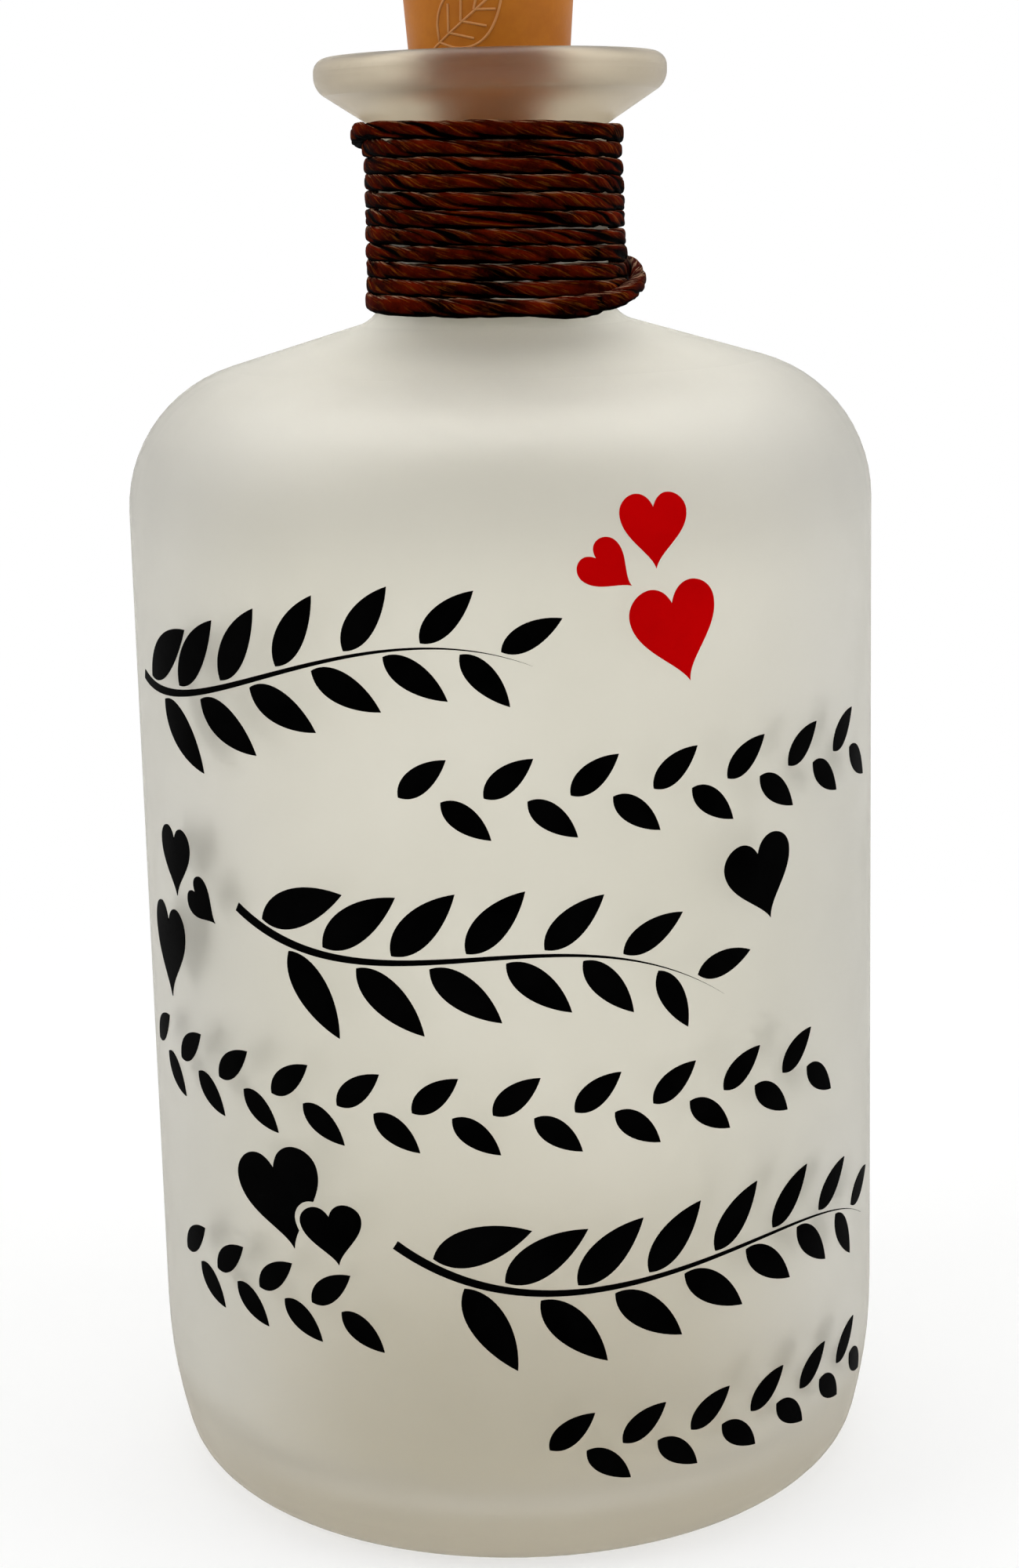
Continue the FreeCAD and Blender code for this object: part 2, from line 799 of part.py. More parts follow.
os.makedirs("parts", exist_ok=True)
for node, solids in make_pieces().items():
    shape = solids[0] if len(solids) == 1 else Part.makeCompound(solids)
    shape.exportStep("parts/%s.step" % node)
    print(node, len(solids), "solids, valid", shape.isValid(), "volume %.1f" % shape.Volume)
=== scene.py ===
import bpy
import math
from mathutils import Matrix, Vector, noise


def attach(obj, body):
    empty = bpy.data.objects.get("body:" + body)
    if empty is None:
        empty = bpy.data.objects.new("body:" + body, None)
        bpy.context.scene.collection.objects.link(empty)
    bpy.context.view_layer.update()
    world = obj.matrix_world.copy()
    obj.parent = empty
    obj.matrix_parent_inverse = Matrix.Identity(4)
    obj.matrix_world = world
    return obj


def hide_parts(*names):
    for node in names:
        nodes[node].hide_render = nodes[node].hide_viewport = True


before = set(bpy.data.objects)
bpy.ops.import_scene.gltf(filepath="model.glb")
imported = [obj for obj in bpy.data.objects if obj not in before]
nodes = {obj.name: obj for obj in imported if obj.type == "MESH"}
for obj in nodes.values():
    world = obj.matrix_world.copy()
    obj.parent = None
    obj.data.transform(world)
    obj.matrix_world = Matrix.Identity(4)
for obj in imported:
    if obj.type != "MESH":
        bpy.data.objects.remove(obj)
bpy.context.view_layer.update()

mm = 0.001
print("frame loaded,", len(nodes), "nodes")


# small helpers for node trees

def addNode(tree, kind, **values):
    node = tree.nodes.new(kind)
    for key, value in values.items():
        setattr(node, key, value)
    return node


def feed(tree, socket, source):
    # a socket takes a link from another socket, or a plain value
    if isinstance(source, bpy.types.NodeSocket):
        tree.links.new(source, socket)
    else:
        socket.default_value = source


def maths(tree, operation, first, second=0.0, clamp=False):
    node = addNode(tree, "ShaderNodeMath", operation=operation, use_clamp=clamp)
    feed(tree, node.inputs[0], first)
    feed(tree, node.inputs[1], second)
    return node.outputs[0]


def remap(tree, value, fromLow, fromHigh, toLow=0.0, toHigh=1.0, smooth=False):
    node = addNode(tree, "ShaderNodeMapRange", interpolation_type="SMOOTHSTEP" if smooth else "LINEAR")
    for socket, source in zip(node.inputs, (value, fromLow, fromHigh, toLow, toHigh)):
        feed(tree, socket, source)
    return node.outputs[0]


def blendColours(tree, factor, first, second):
    node = addNode(tree, "ShaderNodeMix", data_type="RGBA")
    # inputs 6 and 7 and output 2 of this node are its colours
    feed(tree, node.inputs[0], factor)
    feed(tree, node.inputs[6], first)
    feed(tree, node.inputs[7], second)
    return node.outputs[2]


def noiseAt(tree, vector, scale, detail=3.0, roughness=0.55):
    node = addNode(tree, "ShaderNodeTexNoise")
    feed(tree, node.inputs["Vector"], vector)
    feed(tree, node.inputs["Scale"], scale)
    node.inputs["Detail"].default_value = detail
    node.inputs["Roughness"].default_value = roughness
    return node.outputs[0]


def rgb(red, green, blue):
    # linear colour from the usual 0 to 255 values
    parts = [c / 255 for c in (red, green, blue)]
    return tuple(c / 12.92 if c <= 0.04045 else ((c + 0.055) / 1.055) ** 2.4 for c in parts) + (1.0,)


# shared finishes: a cloudy colour and a fine grain
cloudLook = {
    "detail": 4.0,
    "span": (0.32, 0.68),
    "speckleScale": 14.0,
    "speckleDetail": 2.0,
}
grainLook = {
    "detail": 2.0,
    "patchScale": 0.03,
    "patchDetail": 3.0,
    "patchShare": 0.7,
    "span": (0.35, 0.65),
}
# what a finish has where its own settings say nothing else
plainLook = {
    "speckle": 0.2,
    "bump": 0.3,
    "bumpDepth": 0.02 * mm,
    "sockets": {},
}


def newGroup(name, inputs, outputs):
    group = bpy.data.node_groups.new(name, "ShaderNodeTree")
    for label, kind, value in inputs:
        socket = group.interface.new_socket(label, in_out="INPUT", socket_type=kind)
        socket.default_value = value
    for label, kind in outputs:
        group.interface.new_socket(label, in_out="OUTPUT", socket_type=kind)
    return group, group.nodes.new("NodeGroupInput").outputs, group.nodes.new("NodeGroupOutput").inputs


def makeCloudyColour():
    look = cloudLook
    group, given, result = newGroup(
        "cloudyColour",
        [("Deep", "NodeSocketColor", (0.2, 0.2, 0.2, 1)), ("Pale", "NodeSocketColor", (0.8, 0.8, 0.8, 1)),
         ("Size", "NodeSocketFloat", 60.0), ("Speckle", "NodeSocketFloat", 0.2)],
        [("Color", "NodeSocketColor")])
    where = addNode(group, "ShaderNodeTexCoord").outputs["Object"]
    cloud = remap(group, noiseAt(group, where, given["Size"], look["detail"]), *look["span"])
    fineSize = maths(group, "MULTIPLY", given["Size"], look["speckleScale"])
    fine = maths(group, "SUBTRACT", noiseAt(group, where, fineSize, look["speckleDetail"]), 0.5)
    mask = maths(group, "ADD", cloud, maths(group, "MULTIPLY", fine, given["Speckle"]), clamp=True)
    feed(group, result["Color"], blendColours(group, mask, given["Deep"], given["Pale"]))
    return group


def makeFineGrain():
    look = grainLook
    group, given, result = newGroup(
        "fineGrain",
        [("Size", "NodeSocketFloat", 3000.0), ("Smooth", "NodeSocketFloat", 0.4),
         ("Rough", "NodeSocketFloat", 0.6)],
        [("Roughness", "NodeSocketFloat"), ("Height", "NodeSocketFloat")])
    where = addNode(group, "ShaderNodeTexCoord").outputs["Object"]
    grain = noiseAt(group, where, given["Size"], look["detail"])
    wideSize = maths(group, "MULTIPLY", given["Size"], look["patchScale"])
    wide = noiseAt(group, where, wideSize, look["patchDetail"])
    patch = maths(group, "ADD", maths(group, "MULTIPLY", wide, look["patchShare"]),
                  maths(group, "MULTIPLY", grain, 1 - look["patchShare"]))
    feed(group, result["Roughness"], remap(group, patch, *look["span"], given["Smooth"], given["Rough"]))
    feed(group, result["Height"], grain)
    return group


cloudyColour = makeCloudyColour()
fineGrain = makeFineGrain()
print("shared finishes made")


def placeGroup(tree, group, **values):
    node = addNode(tree, "ShaderNodeGroup", node_tree=group)
    for label, value in values.items():
        feed(tree, node.inputs[label], value)
    return node.outputs


def newFinish(name):
    material = bpy.data.materials.new(name)
    material.use_nodes = True
    tree = material.node_tree
    return material, tree, tree.nodes["Principled BSDF"]


def bump(tree, shader, height, strength, distance):
    node = addNode(tree, "ShaderNodeBump")
    feed(tree, node.inputs["Height"], height)
    node.inputs["Strength"].default_value = strength
    node.inputs["Distance"].default_value = distance
    feed(tree, shader.inputs["Normal"], node.outputs["Normal"])


def setSockets(shader, values):
    for label, value in values.items():
        shader.inputs[label].default_value = value


def grainedFinish(name, ownLook):
    # cloudy colour, grained roughness and a fine bump, with plain sockets from the look
    look = {**plainLook, **ownLook}
    material, tree, shader = newFinish(name)
    colour = placeGroup(tree, cloudyColour, Deep=look["deep"], Pale=look["pale"], Size=look["cloudSize"],
                        Speckle=look["speckle"])
    grain = placeGroup(tree, fineGrain, Size=look["grainSize"], Smooth=look["smooth"], Rough=look["rough"])
    feed(tree, shader.inputs["Base Color"], colour["Color"])
    feed(tree, shader.inputs["Roughness"], grain["Roughness"])
    bump(tree, shader, grain["Height"], look["bump"], look["bumpDepth"])
    setSockets(shader, look["sockets"])
    return material


def finishName(node):
    first, *rest = node.split("_")
    return first + "".join(word.title() for word in rest) + "Finish"


def dress(material, *names):
    for name in names:
        data = nodes[name].data
        data.materials.clear()
        data.materials.append(material)


# camera where the photograph was taken from, fitted to the bottle's outline
camera = {
    "place": (0.0, -0.32636, 0.15675),
    "tiltDown": math.radians(10.909),
    "roll": -0.0241,
    "lens": 61.44,
    "sensor": 36.0,
    "shift": (0.0027, -0.0493),
    "clipStart": 0.01,
}
cameraData = bpy.data.cameras.new("photoCamera")
cameraData.lens = camera["lens"]
cameraData.sensor_width = camera["sensor"]
cameraData.shift_x, cameraData.shift_y = camera["shift"]
cameraData.clip_start = camera["clipStart"]
photoCamera = bpy.data.objects.new("photoCamera", cameraData)
photoCamera.matrix_world = (Matrix.Translation(camera["place"])
                            @ Matrix.Rotation(math.pi / 2 - camera["tiltDown"], 4, "X")
                            @ Matrix.Rotation(camera["roll"], 4, "Z"))
bpy.context.scene.collection.objects.link(photoCamera)
bpy.context.scene.camera = photoCamera
print("camera placed")


def sweepTube(name, points, frames, rings):
    # one closed tube: a ring of section points in each frame, closed by a fan at both ends
    vertices, faces = [], []
    sides = len(rings[0])
    for point, (outward, upward), ring in zip(points, frames, rings):
        vertices += [point + outward * a + upward * b for a, b in ring]
    for i in range(len(points) - 1):
        for k in range(sides):
            after = (k + 1) % sides
            faces.append((i * sides + k, i * sides + after, (i + 1) * sides + after, (i + 1) * sides + k))
    for ring, turn in ((0, -1), (len(points) - 1, 1)):
        centre = len(vertices)
        vertices.append(points[ring].copy())
        for k in range(sides):
            pair = [ring * sides + k, ring * sides + (k + 1) % sides]
            faces.append((pair if turn > 0 else pair[::-1]) + [centre])
    mesh = bpy.data.meshes.new(name)
    mesh.from_pydata([tuple(v) for v in vertices], [], [tuple(f) for f in faces])
    mesh.update()
    mesh.polygons.foreach_set("use_smooth", [True] * len(mesh.polygons))
    piece = bpy.data.objects.new(name, mesh)
    bpy.context.scene.collection.objects.link(piece)
    return piece


def splinePoints(name, controls, resolution):
    # points along a smooth NURBS spline through the given control points
    curve = bpy.data.curves.new(name, "CURVE")
    curve.dimensions = "3D"
    curve.resolution_u = resolution
    spline = curve.splines.new("NURBS")
    spline.points.add(len(controls) - 1)
    for point, place in zip(spline.points, controls):
        point.co = (*place, 1.0)
    spline.order_u = 3
    spline.use_endpoint_u = True
    holder = bpy.data.objects.new(name, curve)
    bpy.context.scene.collection.objects.link(holder)
    bpy.context.view_layer.update()
    line = bpy.data.meshes.new_from_object(holder.evaluated_get(bpy.context.evaluated_depsgraph_get()))
    points = [v.co.copy() for v in line.vertices]
    bpy.data.objects.remove(holder)
    bpy.data.curves.remove(curve)
    bpy.data.meshes.remove(line)
    return points


# cord wound on the neck: a flattened twisted paper cord, tucked in at both ends
neckCord = {
    "turns": 10.5,
    "firstTurn": 0.16,
    "lastTurn": 10.34,
    "pointsPerTurn": 16,
    "lowHeight": 143.05 * mm,
    "highHeight": 164.15 * mm,
    "neckRadius": 13.7 * mm,
    "flareRadius": 4.0 * mm,
    "flareHeight": 145.07 * mm,
    "halfWidth": 0.85 * mm,
    "halfHeight": 1.05 * mm,
    "squareness": 3.0,
    "standOff": 0.03 * mm,
    "wander": 0.16 * mm,
    "wanderScale": 2.3,
    "swell": 0.18,
    "swellScale": 120.0,
    "lowestSwell": 0.22,
    "lowestLength": 0.14,           # m of cord that the lowest swell fades out in
    "rightSlack": (0.75, 0.1),      # mm that the turns stand off on the right, low and high
    "topLift": 0.3,                 # mm that the last turn rides out under the lip
    "twistPitch": 21 * mm,
    "twistWander": 1.6,
    "twistWanderScale": 85.0,
    "flatten": 0.07,
    "crumple": 0.06,
    "crumpleScale": (2.2, 700.0),   # round the cord and along it
    # place round the cord, width and depth of the folds in the paper
    "creases": ((0.0, 0.34, 1.0), (1.5, 0.22, 0.8), (2.9, 0.4, 1.0), (4.4, 0.24, 0.9)),
    "creaseDepth": 0.3,
    "creaseShow": (0.6, 1.1),       # mean strength of a fold and how far it varies
    "creaseScale": 110.0,
    "seeds": {"wander": (4.1, 0.7), "twist": (0.3, 2.0), "swell": (7.7, 1.1)},
    "sides": 28,
    "resolution": 12,
    "deep": rgb(1, 0, 0),
    "brown": rgb(94, 19, 1),
    "pale": rgb(140, 78, 20),
    # painted highlight: pale colour laid on the cord's upward-facing edges
    "paintedHighlight": rgb(176, 140, 112),
    "cloudSize": 230.0,
    "speckle": 0.5,
    "fibreStretch": (1.0, 1.0, 0.06),
    "fibreNoise": (5.5, 4.0, 0.7),  # scale, detail, roughness
    "streakFibre": (0.53, 0.78),
    "highlightFibre": (0.5, 0.6),
    "highlightFacing": (0.45, 0.9),
    # painted shade: the deep colour laid on faces turned downward and into the creases
    "underShadeFacing": (0.25, -0.4),
    "paintedCreaseShade": 1.6,
    "grainSize": 2600.0,
    "smooth": 0.5,
    "rough": 0.78,
    "bump": 0.55,
    "bumpDepth": 0.09 * mm,
    "sockets": {"Specular IOR Level": 0.004},
    # angle in degrees, height in turns and extra radius in mm of the loose stretches
    "lowerLoop": ((104, 3.1, 0.3), (88, 3.02, 1.0), (72, 2.95, 1.6), (56, 2.85, 1.75), (40, 2.62, 1.8),
                  (24, 2.25, 1.85), (10, 1.8, 1.85), (-4, 1.3, 1.75), (-17, 0.85, 1.35), (-30, 0.46, 0.75),
                  (-43, 0.24, 0.25)),
    "upperTuck": ((-138, 10.42, 0.1), (-154, 10.46, 0.45), (-168, 10.44, 0.95), (-182, 10.25, 1.25),
                  (-196, 9.9, 1.2), (-211, 9.45, 0.8), (-226, 9.13, 0.35)),
}


def cordLane(height):
    look = neckCord
    gap = look["halfWidth"] + look["standOff"]
    drop = look["flareHeight"] - height
    if drop <= 0:
        return look["neckRadius"] + gap
    return look["neckRadius"] + look["flareRadius"] - math.sqrt((look["flareRadius"] - gap) ** 2 - drop ** 2)


def cordControl(degrees, turn, extra):
    look = neckCord
    share = turn / look["turns"]
    angle = math.radians(degrees)
    low, high = look["rightSlack"]
    extra += (low + (high - low) * share) * max(0.0, math.cos(angle)) ** 2
    height = look["lowHeight"] + (look["highHeight"] - look["lowHeight"]) * share
    lane = (cordLane(height) + extra * mm) / math.cos(math.pi / look["pointsPerTurn"])
    return Vector((lane * math.cos(angle), lane * math.sin(angle), height))


def drift(value, scale, seed):
    # smooth noise along a line, from -1 to 1
    return noise.noise(Vector((value * scale, *seed)))


def windCord():
    look = neckCord
    controls = [cordControl(*row) for row in look["lowerLoop"]]
    count = round((look["lastTurn"] - look["firstTurn"]) * look["pointsPerTurn"])
    for i in range(count + 1):
        turn = look["firstTurn"] + (look["lastTurn"] - look["firstTurn"]) * i / count
        ride = look["topLift"] * max(0.0, turn - look["turns"] + 1)
        point = cordControl(-360 * turn, turn, ride)
        point.z += look["wander"] * drift(turn, look["wanderScale"], look["seeds"]["wander"])
        controls.append(point)
    return controls + [cordControl(*row) for row in look["upperTuck"]]


def ringFrames(points):
    # way out from the neck and way up, square to the line at each point
    frames = []
    for i, point in enumerate(points):
        heading = (points[min(i + 1, len(points) - 1)] - points[max(i - 1, 0)]).normalized()
        outward = Vector((point.x, point.y, 0)).normalized()
        outward = (outward - heading * outward.dot(heading)).normalized()
        frames.append((outward, heading.cross(outward)))
    return frames


def squareWave(value):
    # cosine or sine pressed towards a square section
    return math.copysign(abs(value) ** (2 / neckCord["squareness"]), value)


def cordSection(along):
    # ring of the pressed and creased section, with its place in the twist and the depth of its creases
    look = neckCord
    turnBy = 2 * math.pi * along / look["twistPitch"]
    turnBy += look["twistWander"] * drift(along, look["twistWanderScale"], look["seeds"]["twist"])
    swell = 1 + look["swell"] * drift(along, look["swellScale"], look["seeds"]["swell"])
    swell += look["lowestSwell"] * max(0.0, 1 - along / look["lowestLength"])
    meanShow, varyShow = look["creaseShow"]
    roundScale, alongScale = look["crumpleScale"]
    ring, twist, shade = [], [], []
    for k in range(look["sides"]):
        angle = 2 * math.pi * k / look["sides"]
        own = angle - turnBy
        crease = 0.0
        for place, width, depth in look["creases"]:
            away = (own - place + math.pi) % (2 * math.pi) - math.pi
            fade = meanShow + varyShow * drift(along, look["creaseScale"], (place * 5, 3.0))
            crease = max(crease, depth * min(max(fade, 0.0), 1.0) * math.exp(-(away / width) ** 2))
        spot = Vector((math.cos(own) * roundScale, math.sin(own) * roundScale, along * alongScale))
        crumple = look["crumple"] * noise.noise(spot)
        reach = swell * (1 + look["flatten"] * math.cos(2 * own) - look["creaseDepth"] * crease + crumple)
        ring.append((look["halfWidth"] * squareWave(math.cos(angle)) * reach,
                     look["halfHeight"] * squareWave(math.sin(angle)) * reach))
        twist.append((math.cos(own), math.sin(own), along / mm))
        shade.append(crease)
    return ring, twist, shade


def makeCordWinding():
    points = splinePoints("cordLine", windCord(), neckCord["resolution"])
    lengths = [0.0]
    for before, after in zip(points, points[1:]):
        lengths.append(lengths[-1] + (after - before).length)
    rings, twists, shades = zip(*[cordSection(along) for along in lengths])
    piece = sweepTube("cordWinding", points, ringFrames(points), rings)
    # the middles of the two closed ends take their ring's first values
    twist = [v for ring in twists for v in ring] + [twists[0][0], twists[-1][0]]
    shade = [v for ring in shades for v in ring] + [shades[0][0], shades[-1][0]]
    twistSpace = piece.data.attributes.new("twistSpace", "FLOAT_VECTOR", "POINT")
    twistSpace.data.foreach_set("vector", [c for v in twist for c in v])
    # crease depth, kept for the painted shade in the creases
    paintedCreaseShade = piece.data.attributes.new("paintedCreaseShade", "FLOAT", "POINT")
    paintedCreaseShade.data.foreach_set("value", shade)
    print("cord wound, %.3f m along the spline" % lengths[-1])
    return piece


def paperCordFinish():
    look = neckCord
    material, tree, shader = newFinish("paperCordFinish")
    twistSpace = addNode(tree, "ShaderNodeAttribute", attribute_name="twistSpace").outputs["Vector"]
    dark = addNode(tree, "ShaderNodeAttribute", attribute_name="paintedCreaseShade").outputs["Fac"]
    stretch = addNode(tree, "ShaderNodeMapping", vector_type="POINT")
    feed(tree, stretch.inputs["Vector"], twistSpace)
    stretch.inputs["Scale"].default_value = look["fibreStretch"]
    fibre = noiseAt(tree, stretch.outputs[0], *look["fibreNoise"])
    coarse = placeGroup(tree, cloudyColour, Deep=look["deep"], Pale=look["brown"], Size=look["cloudSize"],
                        Speckle=look["speckle"])
    streaks = remap(tree, fibre, *look["streakFibre"])
    colour = blendColours(tree, streaks, coarse["Color"], look["pale"])
    # painted highlight: pale on the upward-facing edges; painted shade: dark in the creases and where the cord
    # turns under
    facing = addNode(tree, "ShaderNodeSeparateXYZ")
    feed(tree, facing.inputs[0], addNode(tree, "ShaderNodeTexCoord").outputs["Normal"])
    # painted highlight: the pale colour on upward-facing faces, broken up by the fibres
    edge = maths(tree, "MULTIPLY", remap(tree, facing.outputs["Z"], *look["highlightFacing"]),
                 remap(tree, fibre, *look["highlightFibre"]))
    colour = blendColours(tree, edge, colour, look["paintedHighlight"])
    # painted shade: the deep colour on the downward-facing faces and in the creases
    under = remap(tree, facing.outputs["Z"], *look["underShadeFacing"])
    paintedShade = maths(tree, "MAXIMUM", maths(tree, "MULTIPLY", dark, look["paintedCreaseShade"]), under, clamp=True)
    feed(tree, shader.inputs["Base Color"], blendColours(tree, paintedShade, colour, look["deep"]))
    grain = placeGroup(tree, fineGrain, Size=look["grainSize"], Smooth=look["smooth"], Rough=look["rough"])
    feed(tree, shader.inputs["Roughness"], grain["Roughness"])
    bump(tree, shader, fibre, look["bump"], look["bumpDepth"])
    setSockets(shader, look["sockets"])
    return material


cordWinding = makeCordWinding()
cordWinding.data.materials.append(paperCordFinish())
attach(cordWinding, "bottle")
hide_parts("neck_cord")


# bottle glass: frosted outside, smoother inside, most frosted under the neck, with a faint warm cloud; painted
# shade makes the base and the lip darker and warmer and the shoulder a little darker
frostedGlass = {
    "deep": rgb(238, 236, 227),
    "pale": rgb(247, 245, 238),
    "cloudSize": 22.0,
    "speckle": 0.1,
    # painted shade: the lip darker and warmer, in the cork's warm colour seen through it
    "lipShadeTint": rgb(216, 203, 178),
    # painted shade: the shoulder a little darker
    "shoulderShadeTint": rgb(226, 224, 217),
    # painted shade: the base darker and warmer towards the bottom
    "baseShadeTint": rgb(216, 208, 190),
    "grainSize": 5200.0,
    "bodyFrost": (0.56, 0.64),
    "lipFrost": (0.4, 0.48),
    "insideRoughness": 0.26,
    "boreRoughness": 0.25,
    "neckRise": (122 * mm, 140 * mm),
    "neckFrost": 0.36,
    "shoulderRise": (112 * mm, 126 * mm),
    "shoulderEnd": (134 * mm, 141 * mm),
    "lipRise": (150 * mm, 163 * mm),
    "baseRise": (16 * mm, 1 * mm),
    "lipHeight": (164 * mm, 171 * mm),
    "baseHeight": (2 * mm, 6 * mm),
    "endReach": 20 * mm,
    "maskEdge": 2 * mm,
    "bump": 0.12,
    "bumpDepth": 0.02 * mm,
    "sockets": {"Transmission Weight": 0.98, "IOR": 1.5, "Metallic": 0.0},
}


def outsideMask(tree, where, x, y, z):
    # 1 where the surface faces out, 0 on the inside: the normal against the way from the axis
    look = frostedGlass
    lip = remap(tree, z, *look["lipHeight"], 0.0, look["endReach"], True)
    base = remap(tree, z, *look["baseHeight"], look["endReach"], 0.0, True)
    away = addNode(tree, "ShaderNodeCombineXYZ")
    for socket, source in zip(away.inputs, (x, y, maths(tree, "SUBTRACT", lip, base))):
        feed(tree, socket, source)
    facing = addNode(tree, "ShaderNodeVectorMath", operation="DOT_PRODUCT")
    feed(tree, facing.inputs[0], where.outputs["Normal"])
    feed(tree, facing.inputs[1], away.outputs[0])
    back = addNode(tree, "ShaderNodeNewGeometry").outputs["Backfacing"]
    side = remap(tree, back, 0.0, 1.0, 1.0, -1.0)
    outward = maths(tree, "MULTIPLY", facing.outputs["Value"], side)
    return remap(tree, outward, -look["maskEdge"], look["maskEdge"])


def frostedGlassFinish():
    look = frostedGlass
    material, tree, shader = newFinish("frostedGlassFinish")
    where = addNode(tree, "ShaderNodeTexCoord")
    split = addNode(tree, "ShaderNodeSeparateXYZ")
    feed(tree, split.inputs[0], where.outputs["Object"])
    x, y, z = split.outputs
    lip = remap(tree, z, *look["lipRise"], 0.0, 1.0, True)
    base = remap(tree, z, *look["baseRise"], 0.0, 1.0, True)
    colour = placeGroup(tree, cloudyColour, Deep=look["deep"], Pale=look["pale"], Size=look["cloudSize"],
                        Speckle=look["speckle"])
    # painted shade: darker, warmer colour towards the base
    paintedShadeColour = blendColours(tree, base, colour["Color"], look["baseShadeTint"])
    # painted shade: a darker band on the shoulder
    shoulderShade = maths(tree, "MULTIPLY", remap(tree, z, *look["shoulderRise"], 0.0, 1.0, True),
                     remap(tree, z, *look["shoulderEnd"], 1.0, 0.0, True))
    paintedShadeColour = blendColours(tree, shoulderShade, paintedShadeColour, look["shoulderShadeTint"])
    # painted shade: the lip darker and warmer, in the cork's warm colour
    feed(tree, shader.inputs["Base Color"], blendColours(tree, lip, paintedShadeColour, look["lipShadeTint"]))
    neck = remap(tree, z, *look["neckRise"], 0.0, look["neckFrost"], True)
    thick = remap(tree, lip, 0.0, 1.0, neck, 0.0)
    frost = [maths(tree, "ADD", thick, remap(tree, lip, 0.0, 1.0, body, edge))
             for body, edge in zip(look["bodyFrost"], look["lipFrost"])]
    grain = placeGroup(tree, fineGrain, Size=look["grainSize"], Smooth=frost[0], Rough=frost[1])
    smoother = remap(tree, lip, 0.0, 1.0, look["insideRoughness"], look["boreRoughness"])
    inside = maths(tree, "ADD", thick, smoother)
    outside = outsideMask(tree, where, x, y, z)
    feed(tree, shader.inputs["Roughness"], remap(tree, outside, 0.0, 1.0, inside, grain["Roughness"]))
    bump(tree, shader, maths(tree, "MULTIPLY", grain["Height"], outside), look["bump"], look["bumpDepth"])
    setSockets(shader, look["sockets"])
    return material


dress(frostedGlassFinish(), "bottle_glass")
print("glass dressed")


# cut vinyl films
blackFilm = {
    "deep": rgb(0, 0, 0),
    "pale": rgb(4, 4, 4),
    "cloudSize": 90.0,
    "grainSize": 2400.0,
    "smooth": 0.42,
    "rough": 0.56,
    "bump": 0.1,
    "bumpDepth": 0.01 * mm,
    "sockets": {"Specular IOR Level": 0.004},
}
redFilm = dict(blackFilm, deep=rgb(172, 0, 2), pale=rgb(186, 1, 3))
blackFilms = [name for name in nodes if name.startswith(("black_", "sprig_", "garland_"))]
dress(grainedFinish("blackFilmFinish", blackFilm), *blackFilms)
dress(grainedFinish("redFilmFinish", redFilm), "red_hearts")
print("films dressed,", len(blackFilms) + 1)


# cork-coloured casing of the stopper
corkCasing = {
    "deep": rgb(169, 96, 14),
    "pale": rgb(190, 115, 24),
    "cloudSize": 120.0,
    "speckle": 0.35,
    "grainSize": 3200.0,
    "smooth": 0.42,
    "rough": 0.58,
    "bump": 0.35,
    "bumpDepth": 0.03 * mm,
    "sockets": {"Subsurface Weight": 0.06, "Subsurface Scale": 1.5 * mm, "Specular IOR Level": 0.2},
}
corkFinish = grainedFinish("corkCasingFinish", corkCasing)
dress(corkFinish, "stopper_housing", "cork_cap")


# raised leaf outline moulded on the casing's front
leafMark = {
    "middle": (-2.2, 176.9),
    "length": 10.0,
    "width": 6.6,
    "lean": math.radians(52.0),
    "lineRadius": 0.15 * mm,
    "edgePowers": (0.8, 0.9),       # where the leaf is widest and how full it is
    "stalk": (-0.18, 1.1),          # start and length in leaf lengths
    "stalkSway": (0.05, 3.0),
    "veins": 3,
    "veinStart": 0.16,
    "veinStep": 0.2,
    "veinReach": 0.78,
    "steps": 12,
    "resolution": 4,
    "sides": 8,
    "partingHeight": 181.6,
    "partingRadius": 10.26,
    "taper": 0.075,
    "deep": rgb(190, 128, 72),
    "pale": rgb(208, 148, 92),
}


def onCasing(across, height):
    look = leafMark
    radius = look["partingRadius"] + look["taper"] * (height - look["partingHeight"])
    angle = -math.pi / 2 + across / radius
    return Vector((radius * math.cos(angle), radius * math.sin(angle), height)) * mm


def markPoint(along, side):
    look = leafMark
    x, z = side * look["width"] / 2, (along - 0.5) * look["length"]
    lean = look["lean"]
    return onCasing(look["middle"][0] + x * math.cos(lean) + z * math.sin(lean),
                    look["middle"][1] - x * math.sin(lean) + z * math.cos(lean))


def leafEdge(along):
    widest, fullness = leafMark["edgePowers"]
    return math.sin(math.pi * along ** widest) ** fullness if 0 < along < 1 else 0.0


def makeLeafMark():
    look = leafMark
    steps = [i / look["steps"] for i in range(look["steps"] + 1)]
    lines = [[markPoint(t, side * leafEdge(t)) for t in steps] for side in (-1, 1)]
    start, length = look["stalk"]
    sway, swing = look["stalkSway"]
    lines.append([markPoint(start + length * t, sway * math.sin(swing * t)) for t in steps])
    step = look["veinStep"]
    for i in range(look["veins"]):
        start = look["veinStart"] + step * i
        reach = look["veinReach"] * leafEdge(start + step)
        for side in (-1, 1):
            lines.append([markPoint(start + step * t, side * t * reach) for t in steps])
    angles = [2 * math.pi * k / look["sides"] for k in range(look["sides"])]
    ring = [(look["lineRadius"] * math.cos(a), look["lineRadius"] * math.sin(a)) for a in angles]
    pieces = []
    for number, controls in enumerate(lines):
        points = splinePoints("leafLine", controls, look["resolution"])
        pieces.append(sweepTube("leafMark%d" % number, points, ringFrames(points), [ring] * len(points)))
    return pieces


leafLines = makeLeafMark()
leafFinish = grainedFinish("leafMarkFinish", dict(corkCasing, deep=leafMark["deep"], pale=leafMark["pale"]))
for line in leafLines:
    line.data.materials.append(leafFinish)
    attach(line, "stopper")
print("casing dressed, leaf mark of", len(leafLines), "lines")


